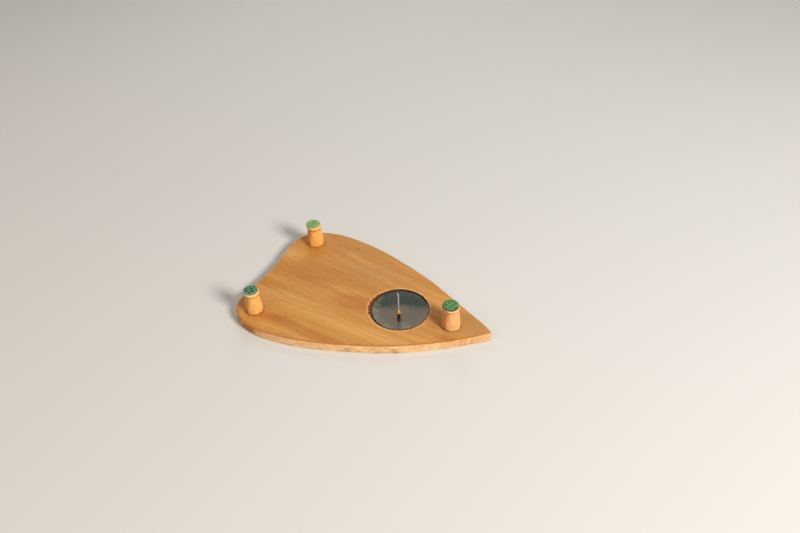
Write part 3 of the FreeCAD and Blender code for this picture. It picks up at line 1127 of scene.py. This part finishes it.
def make_felt(place):
    """A felt pad: a cut disc with a soft, lumpy face, frayed at its edge."""
    style = FEET[place]
    seed = style["seed"]
    centre, radius, low, high = round_box("felt_" + place)
    centre, thick = centre + np.array(style["shift"]), high - low
    _, ways = compass(FELT_COLUMNS)
    reach = felt_reach(radius, style["corners"], seed)
    rings, rimward = [], []
    for share, rise in felt_section():
        spot = lifted(ways * (reach * share)[:, None], rise * thick)
        frayed = 0.10 * field(spot, 0.7, seed + 40, 3) * smooth_step(0.8, 1.0, share) * (rise > 0)
        lumps = 0.075 * field(spot, 1.1, seed + 50, 4) * smooth_step(0.5, 0.95, rise)
        level = low + rise * thick + lumps - 0.03 * (rise > 0.9)
        rings.append(lifted(centre + (reach * share + frayed)[:, None] * ways, level))
        dirt = 0.5 + 0.6 * field(spot, 1.0, seed + 60, 3)
        at_rim = smooth_step(0.70, 0.88, share)
        rimward.append(style["edge_depth"] * at_rim * smooth_step(0.15, 0.50, dirt))
    piece = lathe("felt_" + place + "_pad", np.array(rings), {"rimward": np.array(rimward)})
    colours = style["felt_light"], style["felt_dark"], style["felt_edge"]
    fit_out(piece, "felt_" + place, felt(place, *colours, style["blotched"]))
    fuzz = make_fuzz(place, centre, reach, low, high)


def make_fuzz(place, centre, reach, low, high):
    """Short loose fibres over a felt pad, thickest at its cut edge, and a long thread on one pad."""
    style = FEET[place]
    random = np.random.default_rng(style["seed"])
    points, faces = [], []
    ceiling = high + FIBRE_CEILING
    for _ in range(FIBRES_PER_FELT):
        at_edge = random.random() < 0.45
        angle = random.random() * TURN
        limit = reach[int(angle / TURN * len(reach)) % len(reach)]
        way = np.array([math.cos(angle), math.sin(angle)])
        if at_edge:
            level = low + (0.15 + 0.8 * random.random()) * (high - low)
            start = np.array([*(centre + way * limit * 0.985), level])
            lead = np.array([*way, random.uniform(-0.3, 0.9)])
        else:
            spread = math.sqrt(random.random()) * 0.96
            start = np.array([*(centre + way * limit * spread), high - 0.10])
            lead = np.array([*(way * 0.3), 0.35])
        lead = lead / np.linalg.norm(lead) + random.normal(0, 0.55, 3)
        lead /= np.linalg.norm(lead)
        curl = random.normal(0, 0.5, 3)
        length = random.uniform(0.35, 1.0)
        thickness = random.uniform(0.014, 0.028)
        add_fibre(points, faces, start, lead, curl, length, thickness, 5, ceiling)
    if style["thread"]:
        start = np.array([*(centre + np.array([-0.93, -0.36]) * reach[0]), high - 0.4])
        lead, curl = np.array([-0.85, -0.4, 0.25]), np.array([0.3, -0.8, 0.5])
        add_fibre(points, faces, start, lead, curl, 2.6, 0.035, 14, ceiling)
    fuzz = make_mesh("felt_" + place + "_fuzz", np.array(points), faces)
    fuzz.data.materials.append(felt_fibre(place, style["felt_light"]))
    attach(fuzz, "root")
    return fuzz


def add_fibre(points, faces, start, lead, curl, length, thickness, steps, ceiling):
    """Adds one tapered three-sided fibre that bends by curl, in steps, and stays below a ceiling."""
    first = len(points)
    side = np.cross(lead, [0.31, 0.67, 0.53])
    side /= np.linalg.norm(side)
    other = np.cross(lead, side)
    place = start.copy()
    for step in range(steps + 1):
        taper = thickness * (1 - 0.75 * step / steps)
        for k in range(3):
            turn = k * TURN / 3
            corner = place + taper * (math.cos(turn) * side + math.sin(turn) * other)
            corner[2] = min(corner[2], ceiling)
            points.append(corner)
        lead = lead + curl / steps
        lead = lead / np.linalg.norm(lead)
        place = place + lead * length / steps
    for step in range(steps):
        for k in range(3):
            a, b = first + step * 3 + k, first + step * 3 + (k + 1) % 3
            faces.append([a, b, b + 3, a + 3])
    faces.append([first + 2, first + 1, first])
    last = first + steps * 3
    faces.append([last, last + 1, last + 2])


# ---- Studio ----

CAMERA_PLACE = Vector((162.1, -288.4, 307.0)) * UNIT
CAMERA_DOWN = math.radians(39.59)
CAMERA_ROLL = math.radians(-1.446)
CAMERA_LENS = 31.5
FLOOR_REACH = 4.0
WORLD_COLOUR = (1.0, 0.985, 0.965, 1.0)
WORLD_STRENGTH = 0.28

# Each light: place, diameter (metres), power and colour
LIGHTS = {
    "key": (RIGHT * 0.80 - AHEAD * 0.80 + UP * 0.75, 0.40, 20.5, (1.0, 0.97, 0.91)),
    "fill": (-RIGHT * 0.9 - AHEAD * 0.5 + UP * 0.9, 0.8, 3.0, (1.0, 0.76, 0.50)),
    "back": (AHEAD * 0.73 + UP * 0.685, 0.46, 1.5, (1.0, 0.99, 0.97)),
}


def make_camera():
    """The camera, looking down at the object over its right side."""
    data = bpy.data.cameras.new("camera")
    data.lens = CAMERA_LENS
    data.sensor_width = 36.0
    data.clip_start = 0.01
    camera = add_object("camera", data)
    look = AHEAD * math.cos(CAMERA_DOWN) - UP * math.sin(CAMERA_DOWN)
    top = AHEAD * math.sin(CAMERA_DOWN) + UP * math.cos(CAMERA_DOWN)
    side = RIGHT * math.cos(CAMERA_ROLL) + top * math.sin(CAMERA_ROLL)
    top = top * math.cos(CAMERA_ROLL) - RIGHT * math.sin(CAMERA_ROLL)
    turn = Matrix((side, top, -look)).transposed().to_4x4()
    camera.matrix_world = Matrix.Translation(CAMERA_PLACE) @ turn
    bpy.context.scene.camera = camera


def make_light(name, place, size, power, colour):
    """A round soft light that faces the object's middle."""
    data = bpy.data.lights.new(name, "AREA")
    data.shape = "DISK"
    data.size = size
    data.energy = power
    data.color = colour
    light = add_object(name, data)
    light.location = place
    light.rotation_mode = "QUATERNION"
    light.rotation_quaternion = (-place).to_track_quat("-Z", "Y")


def make_studio():
    """A pale floor, a soft key from the right front, a fill from the left and a light behind."""
    mesh = bpy.data.meshes.new("floor")
    corners = [(-FLOOR_REACH, -FLOOR_REACH, 0), (FLOOR_REACH, -FLOOR_REACH, 0)]
    corners += [(FLOOR_REACH, FLOOR_REACH, 0), (-FLOOR_REACH, FLOOR_REACH, 0)]
    mesh.from_pydata(corners, [], [(0, 1, 2, 3)])
    floor = add_object("floor", mesh)
    mesh.materials.append(floor_paint())
    world = bpy.data.worlds.new("studio")
    world.use_nodes = True
    background = world.node_tree.nodes["Background"].inputs
    background["Color"].default_value = WORLD_COLOUR
    background["Strength"].default_value = WORLD_STRENGTH
    bpy.context.scene.world = world
    for name, settings in LIGHTS.items():
        make_light(name, *settings)
    bpy.context.scene.view_settings.view_transform = "Standard"


make_camera()
make_studio()
make_board()
make_disc()
make_pin()
make_bead()
for foot_place in FEET:
    make_foot(foot_place)
    make_felt(foot_place)
